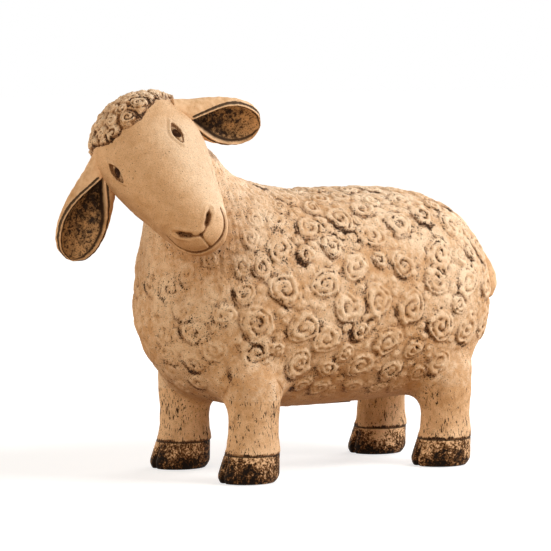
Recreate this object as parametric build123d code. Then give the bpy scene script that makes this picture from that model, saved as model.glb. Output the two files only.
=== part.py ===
from build123d import *
import os
from math import cos, radians, sin, sqrt

# A standing sheep ornament: a hollow cast body in two halves, with head, ears, legs, hooves and tail bonded on.
# The sheep faces -Y, its left side is +X, and +Z is up. Sizes are in millimetres and angles in degrees.

# Fits between the pieces
glue_gap = 0.3
peg_gap = 0.15
end_gap = 0.3

# Body barrel and rump
body_wall = 6.0
body_axis_height = 127.0
body_half_width = 75.5
body_half_height = 80.5
rump_start = 30.0
rump_reach = 111.0
rump_power = 2.7

# Neck and head placing: turned and tilted to the sheep's left, with the nose down
neck_half_width = 33.0
head_x = 31.0
head_y = -152.5
head_above_back = 23.5
head_turn = 57.0
head_tilt = -35.0
head_nod = 64.0

# Head, measured from the line between the eyes
head_wall = 10.0
head_half_width = 38.0
head_half_depth = 38.0
crown_reach = 51.0
muzzle_reach = 79.5
eye_spacing = 49.0
eye_radius = 4.6
eye_proud = 2.0
cap_edge = 27.0
cap_thickness = 5.0

# Ears
left_ear_tip = (74.0, -7.0, -34.0)
right_ear_tip = (-90.0, -20.0, -8.0)
left_ear_facing = (-0.2, -0.73, 0.79)
right_ear_facing = (0.34, -0.56, 0.83)
ear_half_width = 18.5
ear_half_depth = 9.5
ear_wall = 3.2
ear_rim = 2.2
ear_scoop_start = 0.17
ear_root_x = 32.0
ear_root_y = 20.0
ear_root_z = 2.0
ear_peg_radius = 4.5
ear_peg_length = 7.0

# Tail
tail_below_back = 33.5
tail_length = 58.0
tail_half_width = 14.0
tail_half_depth = 14.5
tail_peg_radius = 4.5
tail_peg_drop = 30.0

# Legs
front_leg_inset = 27.5
front_leg_y = -82.0
rear_leg_inset = 33.0
rear_leg_y = 90.5
leg_joint_above_belly = 13.5
leg_root_above_belly = 51.5
leg_root_lean = 16.0
leg_root_half_width = 22.0
leg_root_half_length = 27.0
knee_half_width = 19.5
knee_half_length = 19.5
shin_half_width = 18.0
shin_half_length = 18.5
ankle_half_width = 19.0
ankle_half_length = 20.0
boss_radius = 12.0
boss_height = 26.0
rod_radius = 3.0
rod_grip = 18.0

# Hooves and pads
hoof_height = 25.0
hoof_half_width = 21.0
hoof_half_length = 23.5
hoof_top_half_width = 18.5
hoof_top_half_length = 19.5
hoof_toe = 5.0
cleft_width = 2.6
cleft_depth = 11.0
cleft_height = 18.0
hoof_floor = 8.0
pad_radius = 11.0
pad_thickness = 1.5
pad_proud = 0.6

# Neck dowel and belly plug
dowel_radius = 8.0
dowel_in_head = 14.0
dowel_in_neck = 16.0
plug_radius = 16.0
plug_y = 15.0

# Wool curls: low round buns with a ring groove, rooted in the shells
curl_height = 1.8
curl_root = 2.0
curl_taper = 2.0
curl_share = 0.85
ring_depth = 1.2
ring_outer_share = 0.64
ring_inner_share = 0.36

# Rump sections, as angles on a superellipse from the tip forwards
rump_angles = (88.5, 84, 76, 66, 54, 40, 24, 9)

# Barrel and chest sections: back point, belly point, and the share of the barrel's width over the neck's.
# Each point is how far along Y it lies and how far it rises above the barrel's own back or belly line.
barrel_sections = (
    (30, 0, 30, 0, 1.0),
    (8, 0, -12, -0.5, 1.0),
    (-8, 0, -66, 2, 0.975),
    (-24, 0.5, -117, 20, 0.9),
    (-41, 2.5, -140, 54, 0.77),
    (-58, 7, -141, 93, 0.57),
)

# Neck sections: nape point and throat point from the middle of the head, the extra half width, and how far
# the section follows the head to the side. The last section ends inside the head.
neck_sections = (
    (72.5, -8, 12.5, -57, 10, 0.13),
    (53.5, 8, 9.5, -33, 0, 0.32),
    (28.5, 21, 2.5, -5, -11, 0.65),
)
hollow_neck_sections = 1

# Head sections: shares of the crown's or muzzle's reach, of the half width and of the half depth, and the lift
crown_sections = (
    (1.0, 0.1, 0.13, -4),
    (0.97, 0.34, 0.37, -4),
    (0.85, 0.66, 0.68, -4),
    (0.6, 0.905, 0.94, -3),
    (0.27, 1.0, 1.0, -2),
)
muzzle_sections = (
    (0.0, 0.985, 0.97, -2),
    (0.23, 0.9, 0.9, -1),
    (0.46, 0.755, 0.77, 0),
    (0.69, 0.63, 0.66, 1),
    (0.86, 0.51, 0.53, 0),
    (0.965, 0.31, 0.34, -1),
    (1.0, 0.08, 0.1, -1),
)

# Ear sections: shares of the length, of the half width and of the half depth
ear_sections = (
    (-0.1, 0.6, 0.85),
    (0.1, 0.7, 0.95),
    (0.3, 0.88, 1.0),
    (0.52, 1.0, 1.0),
    (0.72, 0.98, 0.9),
    (0.87, 0.8, 0.72),
    (0.96, 0.5, 0.48),
    (1.0, 0.16, 0.18),
)

# Tail sections: shares of the length, of the half width and depth, and how far out the middle lies
tail_sections = (
    (0.0, 0.25, -2.0),
    (0.15, 0.55, 0.0),
    (0.4, 0.85, 5.0),
    (0.65, 1.0, 9.0),
    (0.85, 0.92, 9.5),
    (0.96, 0.6, 8.0),
    (1.0, 0.2, 6.0),
)

# Main curls of one side, mirrored on the other: how far along Y, the angle up from the side and the radius
curls = (
    (85, 78, 10), (43, 82, 9), (23, 81, 9), (-58, 80, 9), (55, 65, 10.5), (7, 70, 9), (-41, 68, 11),
    (118, 66, 10), (92, 47, 12), (66, 53, 11.5), (41, 46, 12), (16, 58, 10), (-8, 51, 11.5), (-38, 46, 11),
    (119, 36, 11.5), (69, 26, 12.5), (33, 20, 11), (12, 39, 11.5), (-9, 21, 11.5), (-25, 34, 10),
    (-66, 50, 10), (-68, 33, 11.5), (-87, 24, 9.5), (136, 22, 10), (119, 7, 11.5), (94, 9, 12.5),
    (61, 10, 11), (37, -4, 13), (9, 1, 12.5), (-18, -1, 12.5), (-36, 12, 12), (-70, 11, 13),
    (136, -22, 10), (119, -22, 11.5), (95, -21, 13), (66, -16, 13), (20, -23, 12), (-34, -19, 12),
    (-53, -12, 12.5), (-89, -10, 14.5), (136, -62, 10), (31, -43, 10), (2, -37, 12), (-27, -38, 9),
    (-52, -34, 12), (6, -54, 9), (-25, -53, 9),
)

# Heights and places that follow from the body's size
back_height = body_axis_height + body_half_height
belly_height = body_axis_height - body_half_height
head_z = back_height + head_above_back
tail_top = back_height - tail_below_back
leg_joint_height = belly_height + leg_joint_above_belly
leg_root_height = belly_height + leg_root_above_belly
front_leg_x = body_half_width - front_leg_inset
rear_leg_x = body_half_width - rear_leg_inset

head_place = Location((head_x, head_y, head_z)) * Rotation(0, 0, head_turn) \
    * Rotation(0, head_tilt, 0) * Rotation(head_nod, 0, 0)
big = 1000.0


def ellipse_at(plane, half_width, half_height):
    """One oval section on a plane, drawn as four quarter arcs that line up in a loft, away from the mid-plane."""
    quarters = [EllipticalCenterArc((0, 0), half_width, half_height, start) for start in (45, 135, 225, 315)]
    return plane * make_face(quarters)


def upright_plane(y, z):
    """A plane that faces -Y, with its own y axis up."""
    return Plane(origin=(0, y, z), x_dir=(1, 0, 0), z_dir=(0, -1, 0))


def body_section(back, belly, half_width, aside, grow):
    """The oval across the body between a back point and a belly point, grown by a margin."""
    across_y = back[0] - belly[0]
    across_z = back[1] - belly[1]
    half_height = sqrt(across_y**2 + across_z**2) / 2
    middle = (aside, (back[0] + belly[0]) / 2, (back[1] + belly[1]) / 2)
    plane = Plane(origin=middle, x_dir=(1, 0, 0), z_dir=(0, -across_z, across_y))
    return ellipse_at(plane, half_width + grow, half_height + grow)


def body_form(grow, neck_count):
    """The body as one solid, from the rump to the chosen number of neck sections, grown by a margin."""
    sections = []
    for angle in rump_angles:
        share = cos(radians(angle)) ** (2 / rump_power)
        y = rump_start + (rump_reach + grow) * sin(radians(angle)) ** (2 / rump_power)
        plane = upright_plane(y, body_axis_height)
        sections.append(ellipse_at(plane, (body_half_width + grow) * share, (body_half_height + grow) * share))
    for back_y, back_rise, belly_y, belly_rise, share in barrel_sections:
        back = (back_y, back_height + back_rise)
        belly = (belly_y, belly_height + belly_rise)
        half_width = neck_half_width + (body_half_width - neck_half_width) * share
        sections.append(body_section(back, belly, half_width, 0, grow))
    for nape_y, nape_z, throat_y, throat_z, extra, follow in neck_sections[:neck_count]:
        nape = (head_y + nape_y, head_z + nape_z)
        throat = (head_y + throat_y, head_z + throat_z)
        sections.append(body_section(nape, throat, neck_half_width + extra, head_x * follow, grow))
    return loft(sections)


def head_form(grow):
    """The head as one solid in its own frame, with the eye line at y = 0, grown by a margin."""
    sections = []
    rows = [(crown_reach, row) for row in crown_sections] + [(-muzzle_reach, row) for row in muzzle_sections]
    for reach, (share, width, depth, lift) in rows:
        half_width = head_half_width * width + grow
        half_depth = head_half_depth * depth + grow
        end = grow * share if reach > 0 else -grow * share
        if min(half_width, half_depth) > 0.05 * head_half_width:
            sections.append(ellipse_at(upright_plane(reach * share + end, lift), half_width, half_depth))
    return loft(sections)


def leg_column(x, y):
    """A leg from its ankle to its root inside the body, as one solid."""
    inwards = -leg_root_lean if x > 0 else leg_root_lean
    shin_height = hoof_height + 0.45 * (leg_joint_height - hoof_height)
    thigh_height = (leg_joint_height + leg_root_height) / 2
    thigh_half_width = (knee_half_width + leg_root_half_width) / 2
    thigh_half_length = (knee_half_length + leg_root_half_length) / 2
    rows = (
        (hoof_height, 0, ankle_half_width, ankle_half_length),
        (shin_height, 0, shin_half_width, shin_half_length),
        (leg_joint_height, 0, knee_half_width, knee_half_length),
        (thigh_height, inwards / 3, thigh_half_width, thigh_half_length),
        (leg_root_height, inwards, leg_root_half_width, leg_root_half_length),
    )
    return loft([ellipse_at(Plane((x + shift, y, z)), width, length) for z, shift, width, length in rows])


def upright_cylinder(x, y, bottom, top, radius):
    """A cylinder along Z between two heights."""
    return Pos(x, y, (bottom + top) / 2) * Cylinder(radius, top - bottom)


def rod_bore(x, y):
    """The hole for a leg rod, with room at both ends."""
    return upright_cylinder(x, y, hoof_floor - end_gap, rod_top + end_gap, rod_radius + peg_gap)


def make_hoof(x, y):
    """A cloven hoof with a rod hole in its top and a pad recess in its sole."""
    middle_half_width = 0.4 * hoof_top_half_width + 0.6 * hoof_half_width
    middle_half_length = 0.4 * hoof_top_half_length + 0.6 * hoof_half_length
    rows = (
        (pad_proud, hoof_toe, hoof_half_width, hoof_half_length),
        (0.55 * hoof_height, 0.65 * hoof_toe, middle_half_width, middle_half_length),
        (hoof_height, 0, hoof_top_half_width, hoof_top_half_length),
    )
    hoof = loft([ellipse_at(Plane((x, y - toe, z)), width, length) for z, toe, width, length in rows])
    front = y - hoof_toe - hoof_half_length
    hoof -= Pos(x, front, 0) * Box(cleft_width, 2 * cleft_depth, 2 * cleft_height)
    hoof -= upright_cylinder(x, y - hoof_toe, 0, pad_thickness, pad_radius + peg_gap)
    return hoof - rod_bore(x, y)


def ear_leaf(length, grow):
    """An ear's outer form, lofted along +Z and grown by a margin."""
    sections = []
    for share, width, depth in ear_sections:
        half_width = ear_half_width * width + grow
        half_depth = ear_half_depth * depth + grow
        sections.append(ellipse_at(Plane((0, 0, length * share)), half_width, half_depth))
    return loft(sections)


def ear_scoop(length):
    """The hollow of an ear, open towards +Y, that leaves the ear's wall behind it and a rim round it."""
    point = Plane((0, ear_half_depth, length * ear_scoop_start))
    sections = [ellipse_at(point, ear_rim, ear_rim)]
    for share, width, depth in ear_sections[2:-1]:
        half_depth = ear_half_depth * depth
        plane = Plane((0, half_depth, length * share))
        sections.append(ellipse_at(plane, ear_half_width * width - ear_rim, 2 * half_depth - ear_wall))
    return loft(sections)


def make_ear(side, tip, facing):
    """A cupped ear with a peg, in the head's frame, the hole for its peg and the room that it takes up."""
    start = Vector(side * ear_root_x, ear_root_y, ear_root_z)
    along = Vector(*tip) - start
    root = Plane(origin=start, x_dir=Vector(*facing).cross(along), z_dir=along)
    leaf = ear_leaf(along.length, 0) - ear_scoop(along.length)
    ear = root * leaf - head_form(glue_gap)
    peg = root * Cylinder(ear_peg_radius, 2 * ear_peg_length)
    hole = root * Cylinder(ear_peg_radius + peg_gap, 2 * (ear_peg_length + end_gap))
    return ear + peg, hole, root * ear_leaf(along.length, glue_gap)


def make_curls(body, side):
    """The main curls of one side. Each stands where a line from the barrel's axis comes out of the body."""
    buns = []
    for y, angle, radius in curls:
        start = Vector(0, y, body_axis_height)
        way = Vector(side * cos(radians(angle)), 0, sin(radians(angle)))
        hits = [hit for hit in body.find_intersection_points(Axis(start, way)) if (hit[0] - start).dot(way) > 0]
        if not hits:
            continue
        point, normal = max(hits, key=lambda hit: (hit[0] - start).dot(way))
        outwards = normal if normal.dot(way) > 0 else -normal
        middle_radius = curl_share * radius
        bun = Cone(middle_radius + curl_taper / 2, middle_radius - curl_taper / 2, curl_root + curl_height)
        ring = Cylinder(ring_outer_share * middle_radius, 2 * ring_depth)
        ring -= Cylinder(ring_inner_share * middle_radius, 2 * ring_depth)
        bun = Pos(0, 0, (curl_height - curl_root) / 2) * bun - Pos(0, 0, curl_height) * ring
        buns.append(Plane(origin=point, z_dir=outwards) * bun)
    return buns


def sheep_left(solid):
    """The half of a solid on the sheep's left."""
    return solid & Pos(big / 2, 0, 0) * Box(big, big, big)


def sheep_right(solid):
    """The half of a solid on the sheep's right."""
    return solid & Pos(-big / 2, 0, 0) * Box(big, big, big)


# Legs, hooves, rods and pads
rod_top = leg_joint_height + rod_grip
leg_places = {
    "left_front": (front_leg_x, front_leg_y),
    "right_front": (-front_leg_x, front_leg_y),
    "left_rear": (rear_leg_x, rear_leg_y),
    "right_rear": (-rear_leg_x, rear_leg_y),
}
parts = {}
leg_roots = []
bosses = []
rods = []
pads = []
joint_plane = Plane((0, 0, leg_joint_height))
clear_of_body = body_form(glue_gap, len(neck_sections))
for name, (x, y) in leg_places.items():
    column = leg_column(x, y)
    leg = split(column, bisect_by=joint_plane, keep=Keep.BOTTOM) - rod_bore(x, y)
    parts[name + "_leg"] = leg - clear_of_body
    parts[name + "_hoof"] = make_hoof(x, y)
    leg_roots.append(split(column, bisect_by=joint_plane, keep=Keep.TOP))
    bosses.append(upright_cylinder(x, y, leg_joint_height, leg_joint_height + boss_height, boss_radius))
    rods.append(upright_cylinder(x, y, hoof_floor, rod_top, rod_radius))
    pads.append(upright_cylinder(x, y - hoof_toe, 0, pad_thickness, pad_radius))
parts["leg_rods"] = Compound(rods)
parts["hoof_pads"] = Compound(pads)

# Head with its dowel hole, eye sockets and ear holes
head_solid = head_form(0)
eye_x = eye_spacing / 2
eye_section = muzzle_sections[0]
eye_surface = eye_section[3] + head_half_depth * eye_section[2] \
    * sqrt(1 - (eye_x / (head_half_width * eye_section[1])) ** 2)
eye_z = eye_surface + eye_proud - eye_radius
left_ear, left_ear_hole, left_ear_room = make_ear(1, left_ear_tip, left_ear_facing)
right_ear, right_ear_hole, right_ear_room = make_ear(-1, right_ear_tip, right_ear_facing)
head = head_solid - head_form(-head_wall) - left_ear_hole - right_ear_hole
for side in (-1, 1):
    head -= Pos(side * eye_x, 0, eye_z) * Sphere(eye_radius + peg_gap)

# Neck dowel, from the solid end of the neck into the underside of the head
throat_z = eye_section[3] - head_half_depth * eye_section[2]
dowel_length = dowel_in_head + dowel_in_neck
dowel_z = throat_z + (dowel_in_head - dowel_in_neck) / 2
dowel = Pos(0, 0, dowel_z) * Cylinder(dowel_radius, dowel_length)
dowel_bore = Pos(0, 0, dowel_z) * Cylinder(dowel_radius + peg_gap, dowel_length + 2 * end_gap)
head -= dowel_bore

# Wool cap on the crown, kept clear of the ears and the neck
crown_block = Pos(0, cap_edge + big / 2, 0) * Box(big, big, big)
cap = (head_form(cap_thickness) - head_form(glue_gap)) & crown_block
cap = head_place * (cap - left_ear_room - right_ear_room) - clear_of_body

# Tail, on the outside of the rump, with a peg through the shells
def rump_y(z):
    """How far back the rump's middle line lies at a height."""
    share = abs(z - body_axis_height) / body_half_height
    return rump_start + rump_reach * (1 - share**rump_power) ** (1 / rump_power)


tail_rows = []
for share, size, out in tail_sections:
    z = tail_top - tail_length * share
    plane = Plane((0, rump_y(z) + out, z))
    tail_rows.append(ellipse_at(plane, tail_half_width * size, tail_half_depth * size))
tail_peg_z = tail_top - tail_peg_drop
tail_peg_length = body_wall + tail_half_depth / 2
tail_peg_place = Plane(origin=(0, rump_y(tail_peg_z) - body_wall, tail_peg_z), z_dir=(0, 1, 0))
tail_peg = extrude(tail_peg_place * Circle(tail_peg_radius), tail_peg_length)
tail_hole = tail_peg_place * Cylinder(tail_peg_radius + peg_gap, 4 * body_wall)
tail = loft(tail_rows) - clear_of_body

# Body shells, with solid leg roots, rod bosses and a casting hole that the plug closes
outer = body_form(0, len(neck_sections)) - head_place * head_form(glue_gap)
outer = outer - head_place * dowel_bore - head_place * left_ear_room
hollow = body_form(-body_wall, hollow_neck_sections)
shell = outer
for root in leg_roots:
    shell += root
shell -= hollow
for boss in bosses:
    shell += boss & outer
for x, y in leg_places.values():
    shell -= rod_bore(x, y)
plug_hole = upright_cylinder(0, plug_y, 0, body_axis_height, plug_radius + peg_gap)
plug = (outer - hollow) & upright_cylinder(0, plug_y, 0, body_axis_height, plug_radius)
shell = shell - plug_hole - tail_hole

parts["left_body_shell"] = sheep_left(shell).fuse(*make_curls(outer, 1))
parts["right_body_shell"] = sheep_right(shell).fuse(*make_curls(outer, -1))
parts["belly_plug"] = plug
parts["tail"] = tail + tail_peg
parts["head_shell"] = head_place * head
parts["wool_cap"] = cap
parts["left_ear"] = head_place * left_ear
parts["right_ear"] = head_place * right_ear
for name, side in (("left_eye", 1), ("right_eye", -1)):
    parts[name] = head_place * Pos(side * eye_x, 0, eye_z) * Sphere(eye_radius)
parts["neck_dowel"] = head_place * dowel

# The origin is on the floor, under the middle of the whole ornament
box = Compound(list(parts.values())).bounding_box()
to_origin = Pos(-box.center().X, -box.center().Y, -box.min.Z)
os.makedirs("parts", exist_ok=True)
for name, piece in parts.items():
    export_step(to_origin * piece, "parts/" + name + ".step")
print("sheep frame to part frame:", to_origin.position)
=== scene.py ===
import math
import bpy
import numpy as np
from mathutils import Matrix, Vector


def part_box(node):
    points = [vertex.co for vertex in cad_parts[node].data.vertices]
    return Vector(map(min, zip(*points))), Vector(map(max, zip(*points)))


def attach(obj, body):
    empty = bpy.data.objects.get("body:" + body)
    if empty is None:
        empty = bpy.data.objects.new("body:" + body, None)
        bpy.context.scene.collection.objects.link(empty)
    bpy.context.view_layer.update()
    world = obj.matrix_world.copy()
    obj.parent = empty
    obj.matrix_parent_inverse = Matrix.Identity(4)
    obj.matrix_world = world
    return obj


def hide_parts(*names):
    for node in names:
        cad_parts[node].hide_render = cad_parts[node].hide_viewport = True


# A cast sheep ornament with spiral wool curls and worn antique paint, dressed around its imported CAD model.
# Shapes are worked out in millimetres in the sheep's own frame: it faces -Y, its left is +X, and +Z is up.
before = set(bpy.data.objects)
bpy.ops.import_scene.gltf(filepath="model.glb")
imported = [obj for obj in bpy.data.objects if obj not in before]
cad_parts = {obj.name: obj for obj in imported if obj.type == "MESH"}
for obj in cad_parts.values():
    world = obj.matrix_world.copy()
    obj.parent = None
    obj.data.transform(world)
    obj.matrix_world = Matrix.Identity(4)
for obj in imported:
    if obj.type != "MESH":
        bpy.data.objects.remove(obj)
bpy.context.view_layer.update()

# Body barrel and rump, as in the CAD model
body_axis_height = 127.0
body_half_width = 75.5
body_half_height = 80.5
rump_start = 30.0
rump_reach = 111.0
rump_power = 2.7
neck_half_width = 33.0
back_height = body_axis_height + body_half_height
belly_height = body_axis_height - body_half_height

# Barrel sections: back y and rise, belly y and rise, share of the width. Neck sections: nape and throat
# from the middle of the head, extra half width, and the share by which a section follows the head aside.
barrel_sections = np.array((
    (30, 0, 30, 0, 1.0),
    (8, 0, -12, -0.5, 1.0),
    (-8, 0, -66, 2, 0.975),
    (-24, 0.5, -117, 20, 0.9),
    (-41, 2.5, -140, 54, 0.77),
    (-58, 7, -141, 93, 0.57),
))
neck_sections = np.array((
    (72.5, -8, 12.5, -57, 10, 0.13),
    (53.5, 8, 9.5, -33, 0, 0.32),
    (28.5, 21, 2.5, -5, -11, 0.65),
))

# Head: its middle, its turn, tilt and nod in degrees, and its sections: shares of the reach, half width and
# half depth, and the lift in mm
head_middle = np.array((31.0, -152.5, 231.0))
head_turn = 57.0
head_tilt = -35.0
head_nod = 64.0
head_half_width = 38.0
head_half_depth = 38.0
crown_reach = 51.0
muzzle_reach = 79.5
crown_sections = (
    (1.006, 0, 0, -4), (1.0, 0.1, 0.13, -4), (0.97, 0.34, 0.37, -4), (0.85, 0.66, 0.68, -4),
    (0.6, 0.905, 0.94, -3), (0.27, 1.0, 1.0, -2),
)
muzzle_sections = (
    (0.0, 0.985, 0.97, -2), (0.23, 0.9, 0.9, -1), (0.46, 0.755, 0.77, 0), (0.69, 0.63, 0.66, 1),
    (0.86, 0.51, 0.53, 0), (0.965, 0.31, 0.34, -1), (1.0, 0.08, 0.1, -1), (1.004, 0, 0, -1),
)

# Legs and hooves. Leg rows: height, lean towards the middle, half width, half length
front_leg = (48.0, -82.0)
rear_leg = (42.5, 90.5)
leg_rows = np.array((
    (19, 0, 20.2, 21.6),
    (22, 0, 19.6, 20.7),
    (25, 0, 19.0, 20.0),
    (40.75, 0, 18.0, 18.5),
    (60, 0, 19.5, 19.5),
    (79, 5.3, 20.75, 23.25),
    (98, 16, 22.0, 27.0),
    (112, 26, 18.0, 22.0),
))
leg_joint_height = 60.0
leg_top = 108.0
leg_blend = 20.0
least_blend = 2.0
settle_share = 0.8
ankle_hem = 20.8
sole_height = 0.6
hoof_height = 25.0
hoof_half_width = 21.0
hoof_half_length = 23.5
hoof_top_half_width = 18.5
hoof_top_half_length = 19.5
hoof_toe = 5.0
cleft_depth = 3.4
cleft_width = 0.085

# Rows and columns of the meshes
body_mesh = (358, 496)
plain_mesh = (130, 170)
head_mesh = (300, 318)
cap_mesh = (190, 330)
leg_low_rows = 48
leg_high_rows = 36
leg_columns = 112

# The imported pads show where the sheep's frame lies: their middle is on its mid-plane
mm_per_metre = 1000
pads_low, pads_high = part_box("hoof_pads")
pads_x = (pads_low.x + pads_high.x) * mm_per_metre / 2
pads_y = (pads_low.y + pads_high.y) * mm_per_metre / 2
to_part = np.array((pads_x, pads_y - (front_leg[1] + rear_leg[1]) / 2 + hoof_toe, 0.0))


# Small numpy tools

wave_count = 12
wave_spread = 1.4
far_off = 99.0


def smooth_step(value, low, high):
    """0 below low, 1 above high, and three squares less two cubes of the share of the way between them."""
    share = np.clip((value - low) / (high - low), 0, 1)
    return share * share * (3 - 2 * share)


def smooth_through(places, knots, values):
    """A cubic Hermite curve through values at knots, with the slopes of the neighbouring knots."""
    knots = np.asarray(knots, float)
    values = np.asarray(values, float)
    slopes = np.gradient(values, knots, axis=0)
    index = np.clip(np.searchsorted(knots, places, side="right") - 1, 0, len(knots) - 2)
    step = (knots[index + 1] - knots[index])[..., None]
    share = (places - knots[index])[..., None] / step
    rest = 1 - share
    start = rest**2 * ((1 + 2 * share) * values[index] + share * step * slopes[index])
    end = share**2 * ((3 - 2 * share) * values[index + 1] - rest * step * slopes[index + 1])
    return start + end


def unit(vectors):
    """Vectors at length 1."""
    return vectors / (np.linalg.norm(vectors, axis=-1, keepdims=True) + 1e-9)


def turn(axis, degrees):
    """The rotation matrix about axis 0, 1 or 2."""
    cosine = math.cos(math.radians(degrees))
    sine = math.sin(math.radians(degrees))
    first, second = ((1, 2), (2, 0), (0, 1))[axis]
    matrix = np.eye(3)
    matrix[first, first] = cosine
    matrix[second, second] = cosine
    matrix[first, second] = -sine
    matrix[second, first] = sine
    return matrix


def waves(points, size, seed):
    """Smooth noise of about -1 to 1: a sum of sine waves with seeded directions and lengths near size, over
    the spread that such a sum has."""
    draw = np.random.default_rng(seed)
    directions = unit(draw.normal(size=(wave_count, 3)))
    directions = directions * (2 * np.pi / size * draw.uniform(0.7, 1.5, wave_count))[:, None]
    phases = draw.uniform(0, 2 * np.pi, wave_count)
    total = sum(np.sin(points @ direction + phase) for direction, phase in zip(directions, phases))
    return total / wave_count ** 0.5 / wave_spread


def ring_normals(grid):
    """Normals of a grid whose columns close on themselves, from the cross product of its two slopes."""
    down = np.gradient(grid, axis=0)
    across = np.roll(grid, -1, axis=1) - np.roll(grid, 1, axis=1)
    normals = unit(np.cross(across, down))
    outward = grid - grid.mean(axis=1, keepdims=True)
    return normals if (normals * outward).sum() > 0 else -normals


def blur(field, reach):
    """Box blur of a grid of numbers over reach cells each way, with its columns wrapped round."""
    for axis in (0, 1):
        mode = "wrap" if axis else "edge"
        width = [(0, 0), (0, 0)]
        width[axis] = (reach + 1, reach)
        total = np.cumsum(np.pad(field, width, mode=mode), axis=axis)
        ahead = np.take(total, range(2 * reach + 1, total.shape[axis]), axis=axis)
        behind = np.take(total, range(0, total.shape[axis] - 2 * reach - 1), axis=axis)
        field = (ahead - behind) / (2 * reach + 1)
    return field


def hollows(height, reach, full):
    """0 to 1 for how far a point lies below the blurred surface round it. The depth full counts as 1."""
    return np.clip((blur(height, reach) - height) / full, 0, 1)


def crests(height, reach, full):
    """0 to 1 for how far a point stands above the blurred surface round it."""
    return hollows(-height, reach, full)


def bell(distance, width, middle=0.0):
    """A Gaussian of height 1: e to the minus square of (distance - middle) / width."""
    return np.exp(-((distance - middle) / width) ** 2)


def circle(count):
    """The angles of even steps round a circle."""
    return np.radians(360 * np.arange(count) / count)


def line_distance(points, line):
    """The distance of each grid point from a polyline, taken at close samples along it."""
    line = np.asarray(line, float)
    run = np.r_[0, np.cumsum(np.linalg.norm(np.diff(line, axis=0), axis=1))]
    samples = smooth_through(np.linspace(0, run[-1], 4 * int(run[-1]) + 8), run, line)
    nearest = np.full(points.shape[:-1], np.inf)
    for sample in samples:
        nearest = np.minimum(nearest, ((points - sample) ** 2).sum(-1))
    return np.sqrt(nearest)


# Meshes

class Form:
    """Vertices, faces, normals and painted values of one piece, gathered from its surfaces."""

    def __init__(self):
        self.points = []
        self.normals = []
        self.faces = []
        self.values = {}
        self.count = 0

    def add_points(self, points, normals, values):
        """Adds vertices with their normals and painted values, and returns the first one's number."""
        start = self.count
        self.points.append(points)
        self.normals.append(normals)
        for name in sorted(set(self.values) | set(values)):
            painted = np.asarray(values.get(name, np.zeros(len(points))), float).reshape(-1)
            self.values.setdefault(name, [np.zeros(start)] if start else []).append(painted)
        self.count += len(points)
        return start

    def add_faces(self, faces, inside_out):
        """Adds faces of one size, turned round where they point inwards."""
        self.faces.append(faces[:, ::-1] if inside_out else faces)

    def add_ring_grid(self, grid, normals, values):
        """A tube of rows whose columns close on themselves, with a fan to the middle at each end."""
        rows, columns = grid.shape[:2]
        start = self.add_points(grid.reshape(-1, 3), normals.reshape(-1, 3), values)
        number = start + np.arange(rows * columns).reshape(rows, columns)
        ahead = np.roll(number, -1, axis=1)
        quads = np.stack((number[:-1], ahead[:-1], ahead[1:], number[1:]), -1).reshape(-1, 4)
        middle = grid.reshape(-1, 3).mean(0)
        corner = grid.reshape(-1, 3)[quads - start]
        volume = ((corner[:, 0] - middle) * np.cross(corner[:, 1] - middle, corner[:, 2] - middle)).sum()
        self.add_faces(quads, volume < 0)
        for row, inner_row, flip in ((0, 1, True), (rows - 1, rows - 2, False)):
            axis = unit(grid[row].mean(0) - grid[inner_row].mean(0))
            rim = self.add_points(grid[row], np.repeat(axis[None], columns, 0), {})
            tip = self.add_points(grid[row].mean(0)[None], axis[None], {})
            ring = rim + np.arange(columns)
            fan = np.stack((ring, np.roll(ring, -1), np.full(columns, tip)), -1)
            self.add_faces(fan, flip ^ (volume < 0))

    def add_sheet_grid(self, grid, normals, values, outward):
        """An open grid of rows and columns whose faces point along outward."""
        rows, columns = grid.shape[:2]
        start = self.add_points(grid.reshape(-1, 3), normals.reshape(-1, 3), values)
        number = start + np.arange(rows * columns).reshape(rows, columns)
        corners = (number[:-1, :-1], number[:-1, 1:], number[1:, 1:], number[1:, :-1])
        quads = np.stack(corners, -1).reshape(-1, 4)
        corner = grid.reshape(-1, 3)[quads - start]
        facing = np.cross(corner[:, 1] - corner[:, 0], corner[:, 2] - corner[:, 0])
        self.add_faces(quads, (facing * outward.reshape(-1, 3)[quads[:, 0] - start]).sum() < 0)

    def make(self, name, node, slot, material):
        """The mesh object in metres in the part's frame, riding on the root body in place of its CAD node."""
        points = (np.concatenate(self.points) + to_part) / mm_per_metre
        mesh = bpy.data.meshes.new(name)
        sizes = np.concatenate([np.full(len(faces), faces.shape[1]) for faces in self.faces])
        corners = np.concatenate([faces.reshape(-1) for faces in self.faces])
        mesh.vertices.add(len(points))
        mesh.vertices.foreach_set("co", points.astype(np.float32).ravel())
        mesh.loops.add(len(corners))
        mesh.loops.foreach_set("vertex_index", corners.astype(np.int32))
        mesh.polygons.add(len(sizes))
        mesh.polygons.foreach_set("loop_start", (np.cumsum(sizes) - sizes).astype(np.int32))
        mesh.polygons.foreach_set("use_smooth", np.ones(len(sizes), bool))
        mesh.update(calc_edges=True)
        normals = unit(np.concatenate(self.normals)).astype(np.float32)
        painted = {key: np.concatenate(parts) for key, parts in self.values.items()}
        # Painted shade: how far each normal points down, so that undersides are darkened as if in shadow.
        painted["under"] = -normals[:, 2]
        for key, values in painted.items():
            attribute = mesh.attributes.new(key, "FLOAT", "POINT")
            attribute.data.foreach_set("value", np.ascontiguousarray(values, np.float32))
        mesh.normals_split_custom_set_from_vertices(normals)
        mesh.materials.append(material)
        piece = bpy.data.objects.new(name, mesh)
        bpy.context.scene.collection.objects.link(piece)
        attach(piece, "root")
        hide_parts(node)


def cast(name, node, slot, material, grid, values):
    """A piece that is one closed ring grid."""
    form = Form()
    form.add_ring_grid(grid, ring_normals(grid), values)
    form.make(name, node, slot, material)


# Body: rows of ovals from the rump's tip to the neck's end

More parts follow.
